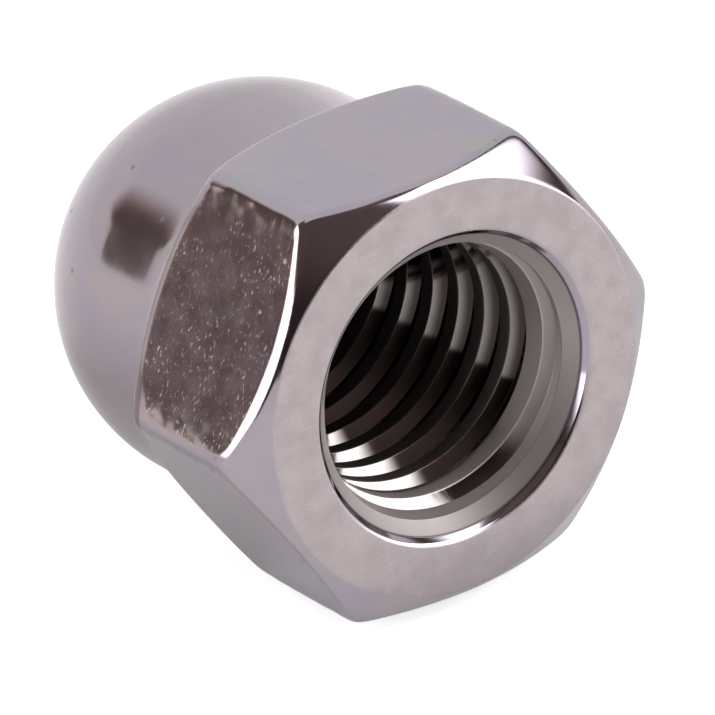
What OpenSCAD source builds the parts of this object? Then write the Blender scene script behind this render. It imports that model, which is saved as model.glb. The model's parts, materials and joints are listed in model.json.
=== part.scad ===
// Hexagon domed cap nut, high form, for an M12 coarse thread. Millimetres.
// It lies on its side, as a loose one comes to rest: on the rear end of one flat and on its dome.
// The origin is the centre of the bearing face, on the thread's axis. -Y is out of the mouth, +Z is up.

/* [Hexagon] */
// Width across flats, which is the spanner size
across_flats = 18; // [17:0.5:22]
// Height of the hexagon, from the bearing face to the foot of the dome
hex_height = 9; // [8:0.5:10.5]
// Radius along the six long edges
edge_radius = 0.55; // [0.2:0.05:1.2]
// How far the bearing face's round edge lies inside the flats
face_inset = 0.35; // [0.1:0.05:0.8]
// Angle of the front chamfer to the bearing face
front_chamfer_angle = 39; // [20:1:45]
// Angle of the rear chamfer to the bearing face
rear_chamfer_angle = 34; // [20:1:45]

/* [Dome] */
// Overall height, from the bearing face to the dome's crown
height = 21.4; // [20:0.2:24]
// How far the dome's side lies inside the flats
dome_step = 0.75; // [0.4:0.05:1.2]
// Radius of the hollow between the rear chamfer and the dome's side
neck_fillet = 1; // [0.4:0.1:1.6]

/* [Thread] */
// Major diameter of the thread
thread_d = 12; // [10:0.5:13]
// Pitch of the thread
thread_pitch = 1.75; // [1:0.25:2]
// Width of the thread's flat crest
thread_crest = 0.67; // [0.3:0.01:0.8]
// How far the mouth's edge lies outside the thread's major diameter
mouth_margin = 0.5; // [0.3:0.05:0.8]
// Depth of the steep edge round the mouth
mouth_edge_depth = 0.3; // [0.1:0.05:0.4]
// Angle of that steep edge to the bearing face
mouth_edge_angle = 52; // [48:1:70]
// Angle of the countersink inside it to the bearing face
countersink_angle = 42; // [30:1:45]
// Plain length of the blind bore past the thread
thread_runout = 1; // [0.5:0.1:2]
// Angle of the drill's point, at the bore's end
drill_point_angle = 118; // [100:1:140]
// Wall between the bore's point and the dome's crown
crown_wall = 1.8; // [1:0.1:3]

/* [Hidden] */
$fn = 180;
// How far cuts and joined shapes run past each other
overlap = 0.3;

// A long edge's rounding meets the flats at this small angle
edge_crease = 8;

flat_r = across_flats / 2;
dome_r = flat_r - dome_step;
dome_centre_z = height - dome_r;

// The rear chamfer ends a flat here, at the flat's middle
rear_slope = tan(rear_chamfer_angle);
flat_end_z = hex_height - dome_step * rear_slope;

// With its axis at this tilt the nut touches the ground at that end of a flat and at its dome
rest_arm = norm([dome_centre_z - flat_end_z, flat_r]);
rest_tilt = atan2(flat_r, dome_centre_z - flat_end_z) - asin(dome_r / rest_arm);

// A 60 degree thread, with a root flat an eighth of the pitch wide
thread_r = thread_d / 2;
flank_slope = tan(30);
root_half = thread_pitch / 16;
bore_r = thread_r - (thread_pitch / 2 - root_half - thread_crest / 2) / flank_slope;
bore_end_z = height - crown_wall - bore_r / tan(drill_point_angle / 2);

// The mouth: its steep edge, then the countersink down to the bore
mouth_r = thread_r + mouth_margin;
countersink_r = mouth_r - mouth_edge_depth / tan(mouth_edge_angle);
countersink_depth = mouth_edge_depth + (countersink_r - bore_r) * tan(countersink_angle);
thread_turns = floor((bore_end_z - thread_runout - countersink_depth) / thread_pitch);

// A hexagon with rounded corners and two of its flats parallel to X
module rounded_hexagon() {
    corner_r = (flat_r - edge_radius * cos(edge_crease)) / cos(30);
    intersection() {
        circle(flat_r / cos(30), $fn = 6);
        for (side = [0:5])
            rotate(60 * side) {
                translate([corner_r, 0]) circle(edge_radius);
                translate([-corner_r / 2, 0]) square([corner_r, across_flats]);
            }
    }
}

// The cones that chamfer the hexagon's front and rear corners
module chamfer_envelope() {
    face_r = flat_r - face_inset;
    corner_r = flat_r / cos(30);
    rotate_extrude()
        polygon([[0, 0], [face_r, 0],
            [corner_r, (corner_r - face_r) * tan(front_chamfer_angle)],
            [corner_r, hex_height - (corner_r - dome_r) * rear_slope],
            [dome_r, hex_height], [0, hex_height]]);
}

module hexagon_body() {
    intersection() {
        linear_extrude(hex_height) rounded_hexagon();
        chamfer_envelope();
    }
}

// The dome with its short cylindrical side, and the hollow at its foot, which stays inside the flats
module dome() {
    hollow_r = min(neck_fillet, dome_step / (1 - sin(rear_chamfer_angle)));
    chamfer_normal = [sin(rear_chamfer_angle), cos(rear_chamfer_angle)];
    centre = [dome_r + hollow_r,
        hex_height + hollow_r * (1 / cos(rear_chamfer_angle) - rear_slope)];
    rotate_extrude() {
        square([dome_r, dome_centre_z]);
        translate([0, dome_centre_z]) intersection() {
            circle(dome_r);
            square(dome_r);
        }
        difference() {
            polygon([[dome_r - overlap, centre.y], [dome_r - overlap, flat_end_z - overlap],
                centre - (hollow_r + overlap) * chamfer_normal,
                centre - hollow_r * chamfer_normal, centre]);
            translate(centre) circle(hollow_r);
        }
    }
}

module thread_groove() {
    inner_r = bore_r - overlap;
    mouth_half = root_half + (thread_r - inner_r) * flank_slope;
    rotate_extrude()
        polygon([[inner_r, -mouth_half], [thread_r, -root_half],
            [thread_r, root_half], [inner_r, mouth_half]]);
}

// The blind bore with its edged and countersunk mouth, its thread and the drill's point
module threaded_bore() {
    rotate_extrude()
        polygon([[0, -overlap], [mouth_r + overlap / tan(mouth_edge_angle), -overlap],
            [countersink_r, mouth_edge_depth], [bore_r, countersink_depth],
            [bore_r, bore_end_z], [0, height - crown_wall]]);
    for (turn = [0:thread_turns - 1])
        translate([0, 0, countersink_depth + (turn + 0.5) * thread_pitch]) thread_groove();
}

module cap_nut() {
    color([0.70, 0.68, 0.69])
        rotate([-90 - rest_tilt, 0, 0])
            difference() {
                union() {
                    hexagon_body();
                    dome();
                }
                threaded_bore();
            }
}

cap_nut();
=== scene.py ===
import json
import math

import bpy
from mathutils import Matrix, Vector


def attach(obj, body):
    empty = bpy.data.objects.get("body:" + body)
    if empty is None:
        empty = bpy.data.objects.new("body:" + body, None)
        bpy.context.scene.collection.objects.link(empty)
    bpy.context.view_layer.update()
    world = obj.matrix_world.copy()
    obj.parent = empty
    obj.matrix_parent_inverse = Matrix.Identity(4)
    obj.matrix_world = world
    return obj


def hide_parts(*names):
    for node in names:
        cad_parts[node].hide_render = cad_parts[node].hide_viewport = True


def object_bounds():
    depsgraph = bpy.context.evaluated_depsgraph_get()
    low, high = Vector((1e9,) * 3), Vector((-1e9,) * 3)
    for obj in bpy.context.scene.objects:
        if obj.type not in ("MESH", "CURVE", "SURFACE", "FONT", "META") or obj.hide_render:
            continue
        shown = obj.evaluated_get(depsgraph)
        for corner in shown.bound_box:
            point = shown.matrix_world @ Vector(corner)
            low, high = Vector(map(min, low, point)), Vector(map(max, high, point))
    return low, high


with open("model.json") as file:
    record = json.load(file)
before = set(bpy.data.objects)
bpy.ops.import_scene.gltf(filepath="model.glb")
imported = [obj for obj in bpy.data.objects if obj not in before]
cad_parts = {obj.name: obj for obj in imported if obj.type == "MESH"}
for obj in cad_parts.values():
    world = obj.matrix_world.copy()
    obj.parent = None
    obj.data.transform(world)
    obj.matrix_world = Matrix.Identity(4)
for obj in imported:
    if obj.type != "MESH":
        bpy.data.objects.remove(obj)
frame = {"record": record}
cad_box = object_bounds()

# The nut's sizes are written in millimetres, and its heights run from the bearing face to the crown.
mm = 0.001

# The camera.
# A long lens, as in a catalogue picture: the nut is seen from above and from the left of its mouth.
# It is aimed at a point near the middle of the nut and turned a little about its line of sight.
camera_azimuth = math.radians(34.76)
camera_elevation = math.radians(33.77)
camera_roll = math.radians(2.39)
camera_distance = 788.6 * mm
camera_target = Vector((0.944, 7.995, -3.133)) * mm
picture_width_px = 715
focal_length_px = 20000

camera_data = bpy.data.cameras.new("camera")
camera_data.sensor_width = 36
camera_data.lens = camera_data.sensor_width * focal_length_px / picture_width_px
camera_data.clip_start = 0.1
camera_data.clip_end = 5
camera = bpy.data.objects.new("camera", camera_data)
bpy.context.scene.collection.objects.link(camera)
looking = Vector((
    math.sin(camera_azimuth) * math.cos(camera_elevation),
    math.cos(camera_azimuth) * math.cos(camera_elevation),
    -math.sin(camera_elevation)))
camera.location = camera_target - camera_distance * looking
camera.rotation_mode = "QUATERNION"
camera.rotation_quaternion = (looking.to_track_quat("-Z", "Y")
                              @ Matrix.Rotation(-camera_roll, 3, "Z").to_quaternion())
bpy.context.scene.camera = camera


# The nut's blank.
# Stainless bar, cold formed and turned: dome, hollow neck, chamfers, bearing face and countersunk mouth.
# Its half section is drawn from the dome's crown to the mouth, as (radius, height), and spun about the nut's axis.
across_flats = 18
corner_radius = across_flats / 2 / math.cos(math.radians(30))
hex_height = 9
nut_height = 21.4
dome_radius = 8.25
dome_centre = nut_height - dome_radius
neck_radius = 1.0
face_radius = 8.65
face_edge_radius = 0.2
mouth_radius = 6.5
mouth_edge_depth = 0.3
mouth_edge_slope = math.radians(52)
lip_radius = 0.25
countersink_slope = math.radians(42)
countersink_radius = mouth_radius - mouth_edge_depth / math.tan(mouth_edge_slope)
bell_radius = 5.7
bell_taper = math.radians(12.5)
bell_start = mouth_edge_depth + (countersink_radius - bell_radius) * math.tan(countersink_slope)
pilot_radius = 5.0
pilot_floor = bell_start + (bell_radius - pilot_radius) / math.tan(bell_taper)
front_chamfer = math.radians(39)
rear_chamfer = math.radians(34)
dome_circle_points = 168
columns = 480
tolerance = 0.001 * mm


def select_only(thing):
    bpy.ops.object.select_all(action="DESELECT")
    thing.select_set(True)
    bpy.context.view_layer.objects.active = thing


def apply_modifiers(thing):
    select_only(thing)
    for modifier in list(thing.modifiers):
        bpy.ops.object.modifier_apply(modifier=modifier.name)


def pick(thing, kind, wanted):
    """Opens a mesh with only the wanted vertices or edges selected; wanted is given a list of them."""
    bpy.ops.object.mode_set(mode="EDIT")
    bpy.ops.mesh.select_mode(type=kind)
    bpy.ops.mesh.select_all(action="DESELECT")
    bpy.ops.object.mode_set(mode="OBJECT")
    for item in wanted(thing.data.vertices if kind == "VERT" else thing.data.edges):
        item.select = True
    bpy.ops.object.mode_set(mode="EDIT")


def pick_nearest(thing, kind, place):
    """Selects the vertex or edge of a half section whose middle is nearest to place, as (radius, height)."""
    target = Vector((place[0], 0, place[1])) * mm
    points = thing.data.vertices

    def distance(item):
        ends = [item] if kind == "VERT" else [points[i] for i in item.vertices]
        return (sum((end.co for end in ends), Vector()) / len(ends) - target).length
    pick(thing, kind, lambda items: [min(items, key=distance)])


def draw_outline(thing, outline):
    """Pulls a half section's end out along an outline of (radius, height)."""
    for start, end in zip(outline, outline[1:]):
        pick_nearest(thing, "VERT", start)
        step = Vector((end[0] - start[0], 0, end[1] - start[1])) * mm
        bpy.ops.mesh.extrude_region_move(TRANSFORM_OT_translate={"value": step})
        bpy.ops.object.mode_set(mode="OBJECT")


def round_corner(thing, corner, rounding, turn, segments):
    """Rounds a corner of a half section; turn is how far the outline's direction changes there."""
    pick_nearest(thing, "VERT", corner)
    bpy.ops.mesh.bevel(affect="VERTICES", offset=rounding * math.tan(turn / 2) * mm, segments=segments)
    bpy.ops.object.mode_set(mode="OBJECT")


def cut_rows(thing, start, end, rows):
    """Divides the straight part of a half section between two of its corners into rows."""
    pick_nearest(thing, "EDGE", ((start[0] + end[0]) / 2, (start[1] + end[1]) / 2))
    bpy.ops.mesh.subdivide(number_cuts=rows - 1)
    bpy.ops.object.mode_set(mode="OBJECT")


def spin_round(thing, steps):
    """Spins a half section about the nut's axis into a closed skin."""
    bpy.ops.object.mode_set(mode="EDIT")
    bpy.ops.mesh.select_all(action="SELECT")
    bpy.ops.mesh.spin(steps=steps, angle=2 * math.pi, center=(0, 0, 0), axis=(0, 0, 1))
    bpy.ops.mesh.select_all(action="SELECT")
    bpy.ops.mesh.remove_doubles(threshold=tolerance)
    bpy.ops.mesh.normals_make_consistent(inside=False)
    bpy.ops.object.mode_set(mode="OBJECT")


# A quarter of the dome's circle is kept, from the crown to the top of the dome's straight side.
bpy.ops.object.select_all(action="DESELECT")
bpy.ops.mesh.primitive_circle_add(vertices=dome_circle_points, radius=dome_radius * mm,
                                  location=(0, 0, dome_centre * mm), rotation=(math.pi / 2, 0, 0))
blank = bpy.context.object
blank.name = "cap_nut_forged"
bpy.ops.object.transform_apply(location=True, rotation=True, scale=True)
pick(blank, "VERT", lambda points: [point for point in points if point.co.x < -tolerance
                                    or point.co.z < dome_centre * mm - tolerance])
bpy.ops.mesh.delete(type="VERT")
bpy.ops.object.mode_set(mode="OBJECT")

dome_side_top = (dome_radius, dome_centre)
dome_foot = (dome_radius, hex_height)
rear_corner = (corner_radius, hex_height - (corner_radius - dome_radius) * math.tan(rear_chamfer))
front_corner = (corner_radius, (corner_radius - face_radius) * math.tan(front_chamfer))
face_edge = (face_radius, 0)
mouth_edge = (mouth_radius, 0)
countersink_edge = (countersink_radius, mouth_edge_depth)
bell_edge = (bell_radius, bell_start)
pilot_edge = (pilot_radius, pilot_floor)
draw_outline(blank, [dome_side_top, dome_foot, rear_corner, front_corner, face_edge, mouth_edge,
                     countersink_edge, bell_edge, pilot_edge, (0, pilot_floor)])
for corner, rounding, turn, segments in [
        (dome_foot, neck_radius, math.pi / 2 - rear_chamfer, 8),
        (face_edge, face_edge_radius, front_chamfer, 5),
        (mouth_edge, lip_radius, mouth_edge_slope, 5)]:
    round_corner(blank, corner, rounding, turn, segments)
for start, end, rows in [
        (dome_side_top, dome_foot, 6),
        (dome_foot, rear_corner, 20),
        (rear_corner, front_corner, 26),
        (front_corner, face_edge, 17),
        (face_edge, mouth_edge, 7),
        (bell_edge, pilot_edge, 6)]:
    cut_rows(blank, start, end, rows)
spin_round(blank, columns)


# The six flats.
# The blank is pressed to a hexagon, so nothing of it stands out past a hexagonal bar with rounded long edges.
# Barrel tumbling then rounds every outer edge, least of all the bearing face's, and dents the long edges.
long_edge_radius = 0.55
long_edge_segments = 10
tumbling_passes = 22
rear_tumbling_passes = 36
tumbling_pull = 0.5
edge_dents = 0.038
edge_dent_size = 0.7
edge_dent_level = 0.6

bpy.ops.object.select_all(action="DESELECT")
bpy.ops.mesh.primitive_cylinder_add(vertices=6, radius=corner_radius * mm, depth=3 * nut_height * mm,
                                    rotation=(0, 0, math.radians(30)))
bar = bpy.context.object
bar.name = "hexagonal_bar"


def is_long(edge):
    """Whether an edge of the bar runs from its one end to its other."""
    one_end, other_end = (bar.data.vertices[i].co.z for i in edge.vertices)
    return one_end * other_end < 0


pick(bar, "EDGE", lambda bar_edges: [edge for edge in bar_edges if is_long(edge)])
bpy.ops.mesh.bevel(affect="EDGES", offset=long_edge_radius * math.tan(math.radians(30)) * mm,
                   segments=long_edge_segments)
bpy.ops.object.mode_set(mode="OBJECT")

press = blank.modifiers.new("flats", "SHRINKWRAP")
press.target = bar
press.wrap_method = "NEAREST_SURFACEPOINT"
press.wrap_mode = "INSIDE"
apply_modifiers(blank)


def slope_to(value, low, high):
    """0 up to low, 1 from high on."""
    return min(1, max(0, (value - low) / (high - low)))


# All of the outside between the bearing face and the round of the dome is worn, and the flats' rear corners more.
# The long edges are dented too, but not where they meet the front chamfer.
worn = blank.vertex_groups.new(name="worn")
rear = blank.vertex_groups.new(name="rear")
edges = blank.vertex_groups.new(name="edges")
for vertex in blank.data.vertices:
    out, up = math.hypot(vertex.co.x, vertex.co.y) / mm, vertex.co.z / mm
    if out > mouth_radius + 0.5 and up < dome_centre:
        worn.add([vertex.index], slope_to(up, 0.05, 0.3), "REPLACE")
        rear.add([vertex.index], slope_to(out, 8.8, 8.95) * slope_to(up, 5.5, 6.5), "REPLACE")
        edges.add([vertex.index], slope_to(out, 9.7, 10.05) * slope_to(up, 0.8, 1.6), "REPLACE")
for group, passes in [(worn, tumbling_passes), (rear, rear_tumbling_passes)]:
    tumble = blank.modifiers.new("tumbling", "SMOOTH")
    tumble.factor = tumbling_pull
    tumble.iterations = passes
    tumble.vertex_group = group.name
dent_pattern = bpy.data.textures.new("edge_dents", "CLOUDS")
dent_pattern.noise_scale = edge_dent_size * mm
dent_pattern.noise_depth = 1
knocks = blank.modifiers.new("knocks", "DISPLACE")
knocks.texture = dent_pattern
knocks.strength = edge_dents * mm
knocks.mid_level = edge_dent_level
knocks.vertex_group = edges.name
apply_modifiers(blank)


# The thread.
# A right-handed metric thread cut by a tap, which a drill with a pointed end has gone before.
# The tap's own shape is turned up as a screw, trimmed to its tapered lead, and taken out of the blank.
thread_radius = 6.0
thread_pitch = 1.75
crest_width = 0.67
root_width = thread_pitch / 8
flank_slope = math.radians(30)
bore_radius = thread_radius - (thread_pitch - root_width - crest_width) / 2 / math.tan(flank_slope)
crest_edge_radius = 0.05
root_edge_radius = 0.09
first_crest = -1.25
turns = 12
steps_per_turn = 96
lead_radius = 6.4
lead_bottom = -2 * thread_pitch
lead_start = 12.6
lead_end = 15.7
drill_radius = 5.2
drill_end = 16.5
drill_tip = 19.6


def start_outline(name, place):
    """A new mesh of one point, at place as (radius, height), for a half section to be pulled from."""
    bpy.ops.object.select_all(action="DESELECT")
    bpy.ops.mesh.primitive_plane_add(size=mm, location=(place[0] * mm, 0, place[1] * mm))
    thing = bpy.context.object
    thing.name = name
    bpy.ops.object.transform_apply(location=True, rotation=True, scale=True)
    bpy.ops.object.mode_set(mode="EDIT")
    bpy.ops.mesh.select_all(action="SELECT")
    bpy.ops.mesh.merge(type="CENTER")
    bpy.ops.object.mode_set(mode="OBJECT")
    return thing


def combine(thing, other, operation):
    """Joins, cuts or trims a closed shape with another one, which is used up."""
    boolean = thing.modifiers.new("boolean", "BOOLEAN")
    boolean.object = other
    boolean.operation = operation
    boolean.solver = "EXACT"
    apply_modifiers(thing)
    bpy.data.objects.remove(other)


# One pitch of the tap's outline, from the middle of a crest to the middle of the next. It starts outside the mouth,
# so the turns run out through the bell and the countersink.
root_start = first_crest + (thread_pitch - root_width) / 2
tooth = [(bore_radius, first_crest),
         (bore_radius, first_crest + crest_width / 2),
         (thread_radius, root_start),
         (thread_radius, root_start + root_width),
         (bore_radius, first_crest + thread_pitch - crest_width / 2),
         (bore_radius, first_crest + thread_pitch)]
tap = start_outline("tap", tooth[0])
draw_outline(tap, tooth)
for corner, rounding in zip(tooth[1:-1], [crest_edge_radius, root_edge_radius, root_edge_radius, crest_edge_radius]):
    round_corner(tap, corner, rounding, math.pi / 2 - flank_slope, 3)
screw = tap.modifiers.new("screw", "SCREW")
screw.angle = 2 * math.pi
screw.screw_offset = thread_pitch * mm
screw.iterations = turns
screw.steps = screw.render_steps = steps_per_turn
screw.use_merge_vertices = True
screw.merge_threshold = 0.5 * tolerance
apply_modifiers(tap)

# The screw's skin is open at both ends, and each is closed by a fan to one point.
bpy.ops.object.mode_set(mode="EDIT")
bpy.ops.mesh.select_all(action="SELECT")
bpy.ops.mesh.remove_doubles(threshold=tolerance)
for far_end in (False, True):
    bpy.ops.mesh.select_mode(type="EDGE")
    bpy.ops.mesh.select_all(action="DESELECT")
    bpy.ops.mesh.select_non_manifold(extend=False, use_wire=False, use_multi_face=False,
                                     use_non_contiguous=False, use_verts=False)
    bpy.ops.object.mode_set(mode="OBJECT")
    rim = [edge.index for edge in tap.data.edges if edge.select
           and (tap.data.vertices[edge.vertices[0]].co.z > nut_height / 2 * mm) == far_end]
    pick(tap, "EDGE", lambda tap_edges: [tap_edges[i] for i in rim])
    bpy.ops.mesh.extrude_edges_move()
    bpy.ops.mesh.merge(type="CENTER")
bpy.ops.mesh.select_all(action="SELECT")
bpy.ops.mesh.normals_make_consistent(inside=False)
bpy.ops.object.mode_set(mode="OBJECT")

lead = start_outline("lead", (0, lead_bottom))
draw_outline(lead, [(0, lead_bottom), (lead_radius, lead_bottom), (lead_radius, lead_start),
                    (drill_radius, lead_end), (drill_radius, drill_end), (0, drill_tip)])
spin_round(lead, steps_per_turn)
combine(tap, lead, "INTERSECT")
combine(blank, tap, "DIFFERENCE")


# The nut, finished.
# It lies on its side at the frame's own angle: the bearing face's mount tells how far the axis is tipped.
# The steel is left as the tumbling barrel leaves it: satin, pitted and dented, and scratched on the bearing face.
sharpest_smooth_edge = math.radians(28)
face_normal = next(m["axis"] for m in frame["record"]["mounts"] if m["name"] == "bearing_face")
rest_tilt = math.atan2(face_normal[2], -face_normal[1])
bpy.data.objects.remove(bar)
select_only(blank)
blank.rotation_euler = (-math.pi / 2 - rest_tilt, 0, 0)
bpy.ops.object.transform_apply(location=True, rotation=True, scale=True)
bpy.ops.object.shade_smooth_by_angle(angle=sharpest_smooth_edge)

# the skin outside: a lilac grey with faint pink and green clouds, and dark pits
lilac_steel = (0.358, 0.327, 0.384, 1)
pink_steel = (0.387, 0.342, 0.372, 1)
green_steel = (0.358, 0.35, 0.358, 1)
pit_colour = (0.09, 0.075, 0.08, 1)
# what the colour under them is multiplied by: the dome's stain, one flat's painted reflection tint, and the rear
# chamfer's painted shade
dome_stain = (0.98, 0.94, 0.93, 1)
# painted reflection: this flat faces the dark room, and its warmer, darker tint stands in for that reflection
flat_reflection_tint = (1, 0.9, 0.84, 1)
# painted shade: the band on and under the rear chamfer is darkened, except at its top
rear_chamfer_painted_shade = (0.56, 0.52, 0.51, 1)
# the bearing face, where it is darker and lighter, its scratches, and the painted shade that darkens it next to the
# table
face_steel = (0.415, 0.362, 0.375, 1)
light_face_steel = (0.475, 0.418, 0.428, 1)
scratched_steel = (0.58, 0.53, 0.53, 1)
face_steel_in_table_shade = (0.26, 0.232, 0.25, 1)
# the mouth: the countersink's turned cone, and the thread, whose first turns are burred on one side and are worn
# open like a bell
lit_cone_steel = (0.33, 0.298, 0.294, 1)
shaded_cone_steel = (0.2, 0.178, 0.175, 1)
flank_steel = (0.23, 0.21, 0.205, 1)
crest_steel = (0.2, 0.176, 0.172, 1)
burred_steel = (0.38, 0.342, 0.336, 1)
bell_steel = (0.5, 0.452, 0.444, 1)
# painted shade where little light reaches: in the grooves, and in the corner under the lip
groove_painted_shade = (0.022, 0.015, 0.014, 1)
crease_painted_shade = (0.06, 0.05, 0.05, 1)
# directions from the nut's axis, as (x, y) with y down to the table: to the flat tinted as a painted reflection of
# the dark room, to the burrs, and to the countersink's shaded side
reflection_tinted_way = (-0.866, -0.5)
burred_way = (0.98, -0.19)
shaded_way = (0.64, 0.77)
turning_marks_per_mm = 14
relief = 0.0035 * mm


class Amount:
    """A number or vector in a node tree. Sums and products of it add Math nodes."""

    def __init__(self, shading, socket):
        self.shading, self.socket = shading, socket

    def math(self, operation, *others):
        terms = dict(enumerate((self, *others)))
        return self.shading.add("Math", {"operation": operation}, terms)

    def __add__(self, other): return self.math("ADD", other)
    def __sub__(self, other): return self.math("SUBTRACT", other)
    def __mul__(self, other): return self.math("MULTIPLY", other)
    def __truediv__(self, other): return self.math("DIVIDE", other)
    def __radd__(self, other): return self + other
    def __rmul__(self, other): return self * other
    def __rsub__(self, other): return self.shading.add("Math", {"operation": "SUBTRACT"}, {0: other, 1: self})
    def __rtruediv__(self, other): return self.shading.add("Math", {"operation": "DIVIDE"}, {0: other, 1: self})


class Shading:
    """The nodes of one material or of the world."""

    def __init__(self, owner):
        owner.use_nodes = True
        self.nodes, self.links = owner.node_tree.nodes, owner.node_tree.links
        self.nodes.clear()

    def add(self, kind, settings, inputs, output=0):
        """Adds a node with its settings and the values or links of its sockets, and returns one of its outputs."""
        node = self.nodes.new("ShaderNode" + kind)
        for name, value in settings.items():
            setattr(node, name, value)
        for name, value in inputs.items():
            if isinstance(value, Amount):
                self.links.new(value.socket, node.inputs[name])
            else:
                node.inputs[name].default_value = value
        return Amount(self, node.outputs[output]) if node.outputs else node

    def ramp(self, value, low, high, start=0, end=1):
        """Goes smoothly from start to end as value goes from low to high."""
        return self.add("MapRange", {"interpolation_type": "SMOOTHSTEP"},
                        {"Value": value, "From Min": low, "From Max": high, "To Min": start, "To Max": end})

    def window(self, value, low, high, soft):
        """1 between low and high, and 0 outside."""
        return self.ramp(value, low - soft, low + soft) * self.ramp(value, high - soft, high + soft, 1, 0)

    def grains(self, place, size):
        """The place counted in grains of this size, in millimetres: one size, or three along x, y and z."""
        sizes = size if isinstance(size, tuple) else (size, size, size)
        return self.add("VectorMath", {"operation": "DIVIDE"}, {0: place, 1: sizes})

    def noise(self, place, detail=2, roughness=0.5):
        return self.add("TexNoise", {}, {"Vector": place, "Scale": 1, "Detail": detail, "Roughness": roughness})

    def mix(self, mask, below, above, blend="MIX"):
        return self.add("Mix", {"data_type": "RGBA", "blend_type": blend}, {0: mask, 6: below, 7: above}, 2)


steel = bpy.data.materials.new("stainless_steel")
shading = Shading(steel)
ramp, window, noise, grains, mix = shading.ramp, shading.window, shading.noise, shading.grains, shading.mix
place = shading.add("Mapping", {}, {
    "Vector": shading.add("TexCoord", {}, {}, "Object"),
    "Rotation": (math.pi / 2 + rest_tilt, 0, 0),
    "Scale": (1 / mm, 1 / mm, 1 / mm)})
x, y, height = (shading.add("SeparateXYZ", {}, {0: place}, axis) for axis in "XYZ")
radius = (x * x + y * y).math("SQRT")


def along(way):
    """How far out from the nut's axis a point lies in a direction, (x, y)."""
    return x * way[0] + y * way[1]


# where on the outside: the bearing face, the dome, the flat with the painted reflection tint, the painted shade on
# and under the rear chamfer, and what the stones pit and dent, which is all but the front chamfer
below_crown = ramp(height, 17.9, 18.1, 1, 0)
outside = ramp(radius, mouth_radius + 0.2, mouth_radius + 0.4).math("MAXIMUM", 1 - below_crown)
bearing_face = ramp(height, 0.02, 0.06, 1, 0) * ramp(radius, mouth_radius - 0.03, mouth_radius)
on_dome = ramp(height, hex_height - 0.1, hex_height + 0.3) * outside
# painted reflection: the flat that faces the dark room is tinted warmer and darker
reflection_tinted_flat = ramp(along(reflection_tinted_way), 8.93, 8.985) * (1 - on_dome)
above_rear = height - hex_height + (radius - dome_radius) * math.tan(rear_chamfer)
near_rear = ramp(above_rear + ramp(radius, 9.3, 9.9) * 0.35, -0.3, -0.14)
# painted shade on and under the rear chamfer
rear_shade_band = near_rear * ramp(height, hex_height - 0.25, hex_height, 1, 0) * ramp(y, -8.2, -6.6)
above_chamfer = height - (radius - face_radius) * math.tan(front_chamfer)
tumbled = outside * ramp(above_chamfer, 0.04, 0.12)

# where in the mouth: the countersink, the crease at its outer edge, and the thread with its crests, the bell that
# its first turns are worn to, its burred side, and its grooves, whose painted shade is lightest next to the table
in_mouth = ramp(radius, countersink_radius - 0.02, countersink_radius + 0.02, 1, 0) * below_crown
above_cone = height - mouth_edge_depth - (countersink_radius - radius) * math.tan(countersink_slope)
above_bell = radius - bell_radius + (height - bell_start) * math.tan(bell_taper)
on_cone = window(above_cone, -0.08, 0.08, 0.03) * ramp(radius, bell_radius - 0.02, bell_radius + 0.01)
countersink = in_mouth * on_cone
# painted shade in the concave corner at the countersink's outer edge
crease = (window(radius, countersink_radius - 0.045, countersink_radius + 0.03, 0.02)
          * window(height, 0.2, 0.42, 0.03))
thread = in_mouth - countersink
on_crest = ramp(radius, bore_radius + 0.01, bore_radius + 0.04, 1, 0)
crest = thread * on_crest.math("MAXIMUM", window(above_bell, -0.04, 0.04, 0.02))
bell = crest * ramp(height, 2.7, 2.9, 1, 0)
burred = thread * ramp(along(burred_way) / radius, 0.2, 0.6) * ramp(height, 2.5, 2.8, 1, 0)
groove = thread * ramp(radius, bore_radius - 0.08, bore_radius + 0.42) * (1 - crest) * (1 - burred * 0.9)
# painted shade in the thread's grooves, darkest on the side away from the table
groove_shade_side = ramp(y, 3.4, 4.8, 1, 0)
shaded_groove = groove * (groove_shade_side * 0.72 + 0.2)

# dark pits: a spot a little out of round, in some of the cells that the steel is divided into
wander = noise(grains(place, 0.25), 1)
wandering = shading.add("CombineXYZ", {}, {0: wander * 0.25, 1: wander * 0.3, 2: wander * 0.1})
cells = grains(shading.add("VectorMath", {"operation": "ADD"}, {0: place, 1: wandering}), 1.4)
spot_distance = shading.add("TexVoronoi", {}, {"Vector": cells, "Scale": 1}, "Distance")
cell_colour = shading.add("TexVoronoi", {}, {"Vector": cells, "Scale": 1}, "Color")
spot_draw = shading.add("SeparateColor", {}, {0: cell_colour}, 0)
pits = ramp(spot_distance - spot_draw * 0.05, 0.02, 0.07, 1, 0) * ramp(spot_draw, 0.58, 0.6) * tumbled

# short dents round the nut from the stones, gathered in places, and straight scratches over the bearing face
gathered = ramp(noise(grains(place, 1.9), 1), 0.42, 0.66, 0.4, 1)
dents = ramp(noise(grains(place, (0.22, 0.22, 0.11)), 1), 0.6, 0.76) * gathered * tumbled * (1 - on_dome * 0.6)
scratches = ramp(noise(grains(place, (2.6, 0.07, 1)), 2), 0.66, 0.72) * bearing_face
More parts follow.
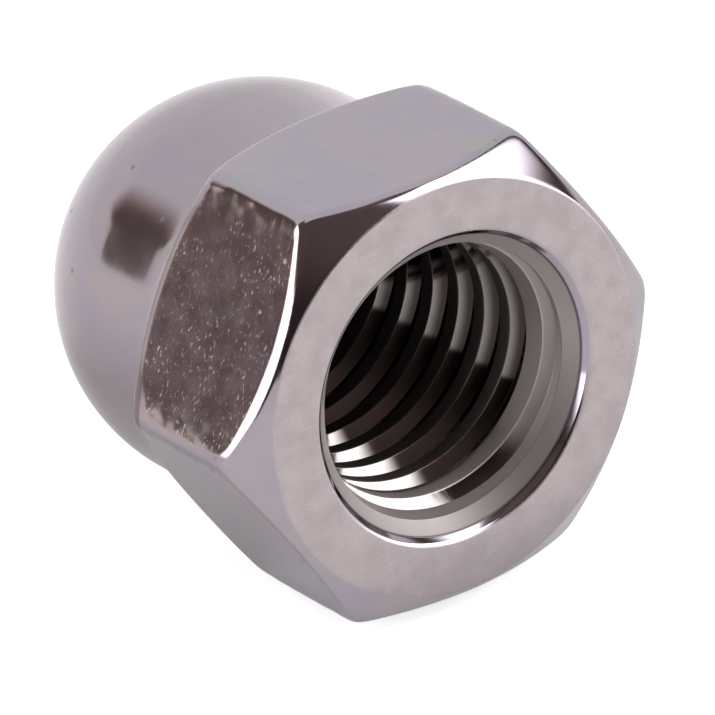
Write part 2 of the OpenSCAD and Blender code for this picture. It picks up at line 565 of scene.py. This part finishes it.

# the colour, in layers from the outside's clouds to the painted shade in the grooves and the crease
clouds = noise(grains(place, 2.6), 3, 0.6)
green_clouds = noise(grains(place, (1.7, 1.7, 2.4)), 2, 0.6)
blotches = ramp(noise(grains(place, 1.3), 4, 0.6), 0.35, 0.65)
handled = mix(blotches, face_steel, light_face_steel)
handled = mix(scratches * 0.45, handled, scratched_steel)
# painted shade: the bearing face darkens towards the table
handled = mix(ramp(y, 5.5, 8.6, 0, 0.5), handled, face_steel_in_table_shade)
cone_steel = mix(ramp(along(shaded_way) / radius, 0.6, 1), lit_cone_steel, shaded_cone_steel)
colour = mix(ramp(clouds, 0.38, 0.62), lilac_steel, pink_steel)
for where, layer, blend in [
        (ramp(green_clouds, 0.56, 0.7), green_steel, "MIX"),
        (pits * 0.5, pit_colour, "MIX"),
        (on_dome, dome_stain, "MULTIPLY"),
        (reflection_tinted_flat, flat_reflection_tint, "MULTIPLY"),
        (rear_shade_band, rear_chamfer_painted_shade, "MULTIPLY"),
        (bearing_face, handled, "MIX"),
        (countersink, cone_steel, "MIX"),
        (thread, flank_steel, "MIX"),
        (crest, crest_steel, "MIX"),
        (burred, burred_steel, "MIX"),
        (bell, bell_steel, "MIX"),
        (shaded_groove, groove_painted_shade, "MIX"),
        (crease * 0.8, crease_painted_shade, "MIX")]:
    colour = mix(where, colour, layer, blend)

# the polish: satin outside, duller on the bearing face, matte in the countersink and where the thread is worn
roughness = ramp(noise(grains(place, 1.1), 3, 0.6), 0.3, 0.7, 0.085, 0.115)
for where, rougher in [
        (bearing_face, 0.22),
        (countersink, 0.52),
        (thread, -0.03),
        (crest.math("MAXIMUM", burred), 0.5),
        (pits, 0.2),
        (blotches * bearing_face, -0.05),
        (dents, 0.12)]:
    roughness = roughness + where * rougher

# the relief: orange peel, dents, pits and scratches, and the countersink's turning marks
peel = noise(grains(place, 0.45), 2, 0.55)
turning = noise(shading.add("CombineXYZ", {}, {0: radius * turning_marks_per_mm}), 2) * countersink
skin = peel * 0.09 + dents * 0.16 - pits * 0.35 + turning * 0.8 - scratches * 0.3
bump = shading.add("Bump", {}, {"Strength": 1, "Distance": relief, "Height": skin}, "Normal")
surface = shading.add("BsdfPrincipled", {}, {
    "Base Color": colour, "Metallic": 1, "Roughness": roughness, "Normal": bump})
shading.add("OutputMaterial", {}, {"Surface": surface})
blank.data.materials.clear()
blank.data.materials.append(steel)
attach(blank, "root")
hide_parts("cap_nut")


# The studio.
# A white table under a white sweep, a large lamp on either side and a dark room behind the camera.
# The table keeps the nut's shadow. Only the camera sees the room white, and the table's paper a little lifted.
table_size = 1.2
table_white = 0.8
camera_lift = 0.6
floor_z = cad_box[0].z

bpy.ops.object.select_all(action="DESELECT")
bpy.ops.mesh.primitive_plane_add(size=table_size, location=(0, 0, floor_z))
table = bpy.context.object
table.name = "table"
paper = bpy.data.materials.new("white_table")
shading = Shading(paper)
sheet = shading.add("BsdfDiffuse", {}, {"Color": (table_white, table_white, table_white, 1)})
seen = shading.add("LightPath", {}, {}, "Is Camera Ray")
lift = shading.add("Emission", {}, {"Color": (1, 1, 1, 1), "Strength": seen * camera_lift})
shading.add("OutputMaterial", {}, {"Surface": shading.add("AddShader", {}, {0: sheet, 1: lift})})
table.data.materials.append(paper)

# The room round the nut, in degrees: azimuth from +Y towards +X, and elevation above the table's plane.
# The sweep stands behind the nut, with a dark gap at its left end. Light paper hangs overhead, and a low strip of it
# stands along the table's edge by the camera.
sweep_sides = (-43, 94)
gap_darkness = 0.9
left_lamp_sides, left_lamp_rise, left_lamp_strength = (-123, -43.5), (1, 36), 4
right_lamp_sides, right_lamp_rise, right_lamp_strength = (105.8, 148.5), (1, 60), 6
white = (1, 1, 1, 1)
warm = (1.3, 0.94, 0.85, 1)

world = bpy.data.worlds.new("studio")
bpy.context.scene.world = world
shading = Shading(world)
ramp, window, mix = shading.ramp, shading.window, shading.mix
direction = shading.add("TexCoord", {}, {}, "Generated")
east, north, up = (shading.add("SeparateXYZ", {}, {0: direction}, axis) for axis in "XYZ")
azimuth = east.math("ARCTAN2", north) * math.degrees(1)
elevation = up.math("ARCSINE") * math.degrees(1)
dark_room = ramp(elevation, 30, 50, 0.035, 0.13)
gap_floor = ramp(azimuth, -39.5, -31, 1.5, 12.6)
gap = ramp(azimuth, -44, -42) * ramp(azimuth, -30, -18, 1, 0)
gap = gap * ramp(elevation - gap_floor, -0.7, 0.9) * ramp(elevation, 22, 31, 1, 0)
sweep = window(azimuth, *sweep_sides, 2)
overhead = ramp(elevation, 68, 76)
table_rim = ramp(azimuth, -134, -128, 9, -0.5)
table_edge = ramp(elevation - table_rim, -1.5, 1.5, 1, 0)
lit = (sweep * (1 - gap * gap_darkness)).math("MAXIMUM", overhead).math("MAXIMUM", table_edge)
left_lamp = window(azimuth, *left_lamp_sides, 1.5) * window(elevation, *left_lamp_rise, 2)
right_lamp = window(azimuth, *right_lamp_sides, 7) * window(elevation, *right_lamp_rise, 2.5)
light = dark_room * (1 - lit) + lit + left_lamp * left_lamp_strength + right_lamp * right_lamp_strength

# The room's dark parts are warm, and its lit ones white.
tint = mix(ramp(light, 0.15, 0.9, 1, 0), white, warm)
seen = shading.add("LightPath", {}, {}, "Is Camera Ray")
light = light * (1 - seen) + seen
tint = mix(seen, tint, white)
back = shading.add("Background", {}, {"Color": tint, "Strength": light})
shading.add("OutputWorld", {}, {"Surface": back})
world.cycles.sampling_method = "MANUAL"
world.cycles.sample_map_resolution = 1024
bpy.context.scene.view_settings.view_transform = "Standard"
